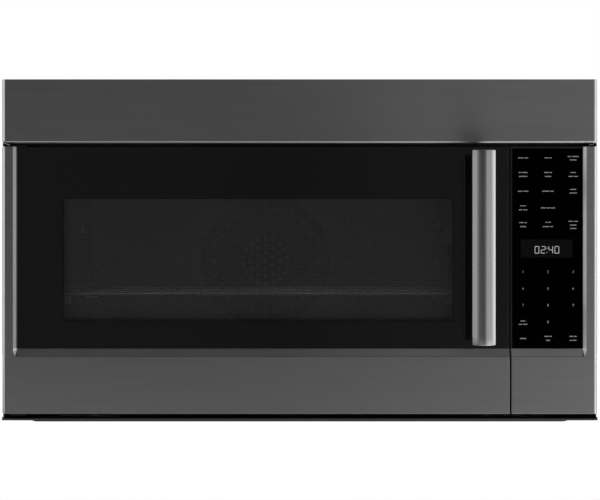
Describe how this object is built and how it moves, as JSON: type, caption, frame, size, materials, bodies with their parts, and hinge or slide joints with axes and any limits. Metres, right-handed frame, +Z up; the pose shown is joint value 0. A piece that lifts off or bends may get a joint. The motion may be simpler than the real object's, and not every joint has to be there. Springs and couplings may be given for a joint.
{
  "type": "over the range microwave",
  "caption": "Wall-hung convection microwave with extractor hood: swing door with bar handle, touch panel, turntable, rack, fans, filters and lamps.",
  "frame": {"origin": "centre of the bounding box in plan, at the underside of the base", "axes": "+X to the right seen from the front, +Y towards the wall behind, +Z up"},
  "size_m": [0.7588, 0.471, 0.4397],
  "materials": {
    "black_stainless": "horizontally brushed, dark tinted",
    "handle_metal": "fine brushed, dark tinted",
    "door_glass": "polished black glass with a smoked window",
    "touch_glass": "polished black, back printed",
    "clear_glass": "clear",
    "frosted_glass": "frosted",
    "case_paint": "semi-gloss powder coat",
    "galvanised": "galvanised sheet",
    "cavity_enamel": "grey enamel",
    "face_paint": "satin black enamel",
    "black_plastic": "fine textured",
    "pale_plastic": "smooth",
    "mica": "mica sheet",
    "motor_steel": "zinc plated motor cans and laminations",
    "capacitor_can": "drawn can",
    "circuit_board": "laminate with modules",
    "lamp_parts": "lamp sockets and bulbs",
    "heater_sheath": "dark oxidised tube",
    "fan_aluminium": "stamped",
    "fan_plastic": "moulded",
    "chrome_wire": "bright wire",
    "spring_steel": "plain",
    "charcoal": "pleated charcoal pad"
  },
  "bodies": {
    "cabinet": {"outer_case": "case_paint", "rear_panel": "galvanised", "base_pan": "case_paint", "cooktop_lamp_lenses": "frosted_glass", "cooktop_lamps": "lamp_parts", "cavity_face_plate": "face_paint", "cavity_shell": "cavity_enamel", "convection_cover": "cavity_enamel", "convection_housing": "galvanised", "convection_heater": "heater_sheath", "convection_motor": "motor_steel", "waveguide": "galvanised", "waveguide_cover": "mica", "cavity_lamp": "lamp_parts", "magnetron": "galvanised", "hv_transformer": "motor_steel", "hv_capacitor": "capacitor_can", "cooling_fan_shroud": "galvanised", "cooling_fan_motor": "motor_steel", "blower_housing": "galvanised", "blower_motor": "motor_steel", "charcoal_filter": "charcoal", "turntable_motor": "motor_steel", "rack_supports": "pale_plastic", "cord_bush": "black_plastic", "vent_fascia": "black_stainless", "vent_louvre": "black_plastic", "control_skin": "black_stainless", "control_housing": "black_plastic", "touch_glass": "touch_glass", "control_board": "circuit_board", "hinge_brackets": "galvanised", "latch_board": "pale_plastic", "interlock_switches": "black_plastic", "case_screws": "spring_steel"},
    "door": {"door_skin": "black_stainless", "door_glass": "door_glass", "door_frame": "black_plastic", "door_choke_plate": "galvanised", "door_screen": "face_paint", "door_inner_glass": "clear_glass", "choke_cover": "black_plastic", "handle_bar": "handle_metal", "handle_posts": "handle_metal", "hinge_bushes": "pale_plastic", "latch_spring": "spring_steel"},
    "latch": {"latch_hooks": "pale_plastic"},
    "lever": {"interlock_lever": "pale_plastic"},
    "turntable_drive": {"turntable_coupler": "pale_plastic"},
    "tray": {"glass_tray": "clear_glass"},
    "roller_support": {"roller_ring": "pale_plastic"},
    "roller_1": {"roller_1": "pale_plastic"},
    "roller_2": {"roller_2": "pale_plastic"},
    "roller_3": {"roller_3": "pale_plastic"},
    "rack": {"oven_rack": "chrome_wire"},
    "convection_rotor": {"convection_fan": "fan_aluminium"},
    "cooling_rotor": {"cooling_fan": "fan_plastic"},
    "blower_rotor": {"blower_wheels": "fan_plastic"},
    "filter_left": {"grease_filter_left": "fan_aluminium"},
    "filter_right": {"grease_filter_right": "fan_aluminium"}
  },
  "joints": [
    {"name": "door_hinge", "type": "hinge", "parent": "cabinet", "child": "door", "pos_m": [-0.3694, -0.1685, 0.184], "axis": [0, 0, -1], "range_deg": [0, 110]},
    {"name": "latch_slide", "type": "slide", "parent": "door", "child": "latch", "axis": [0, 0, 1], "range_m": [0, 0.005], "stiffness_N_per_m": 400, "springref_m": -0.005, "deforming": ["latch_spring"]},
    {"name": "lever_pivot", "type": "hinge", "parent": "cabinet", "child": "lever", "pos_m": [0.2506, -0.113, 0.123], "axis": [1, 0, 0], "range_deg": [0, 8]},
    {"name": "turntable_spin", "type": "hinge", "parent": "cabinet", "child": "turntable_drive", "pos_m": [-0.054, 0.0135, 0.09], "axis": [0, 0, 1], "continuous": true},
    {"name": "tray_lift", "type": "slide", "parent": "turntable_drive", "child": "tray", "axis": [0, 0, 1], "range_m": [0, 0.012]},
    {"name": "ring_spin", "type": "hinge", "parent": "cabinet", "child": "roller_support", "pos_m": [-0.054, 0.0135, 0.0887], "axis": [0, 0, 1], "continuous": true},
    {"name": "roller_1_spin", "type": "hinge", "parent": "roller_support", "child": "roller_1", "pos_m": [0.0643, 0.0135, 0.08865], "axis": [1, 0, 0], "continuous": true},
    {"name": "roller_2_spin", "type": "hinge", "parent": "roller_support", "child": "roller_2", "pos_m": [-0.11315, 0.11595, 0.08865], "axis": [-0.5, 0.866, 0], "continuous": true},
    {"name": "roller_3_spin", "type": "hinge", "parent": "roller_support", "child": "roller_3", "pos_m": [-0.11315, -0.08895, 0.08865], "axis": [-0.5, -0.866, 0], "continuous": true},
    {"name": "rack_lift", "type": "slide", "parent": "cabinet", "child": "rack", "axis": [0, 0, 1], "range_m": [0, 0.02]},
    {"name": "convection_fan_spin", "type": "hinge", "parent": "cabinet", "child": "convection_rotor", "pos_m": [-0.054, 0.185, 0.205], "axis": [0, 1, 0], "continuous": true},
    {"name": "cooling_fan_spin", "type": "hinge", "parent": "cabinet", "child": "cooling_rotor", "pos_m": [0.3, 0.19, 0.225], "axis": [0, 1, 0], "continuous": true},
    {"name": "blower_spin", "type": "hinge", "parent": "cabinet", "child": "blower_rotor", "pos_m": [-0.054, 0.15, 0.377], "axis": [1, 0, 0], "continuous": true},
    {"name": "filter_left_slide", "type": "slide", "parent": "cabinet", "child": "filter_left", "axis": [0, 1, 0], "range_m": [0, 0.009]},
    {"name": "filter_right_slide", "type": "slide", "parent": "cabinet", "child": "filter_right", "axis": [0, 1, 0], "range_m": [0, 0.009]}
  ],
  "couplings": [
    {"joint": "lever_pivot", "follows": "door_hinge", "ratio": 0.07},
    {"joint": "ring_spin", "follows": "turntable_spin", "ratio": 0.5},
    {"joint": "roller_1_spin", "follows": "turntable_spin", "ratio": -6.9588},
    {"joint": "roller_2_spin", "follows": "turntable_spin", "ratio": -6.9588},
    {"joint": "roller_3_spin", "follows": "turntable_spin", "ratio": -6.9588}
  ]
}
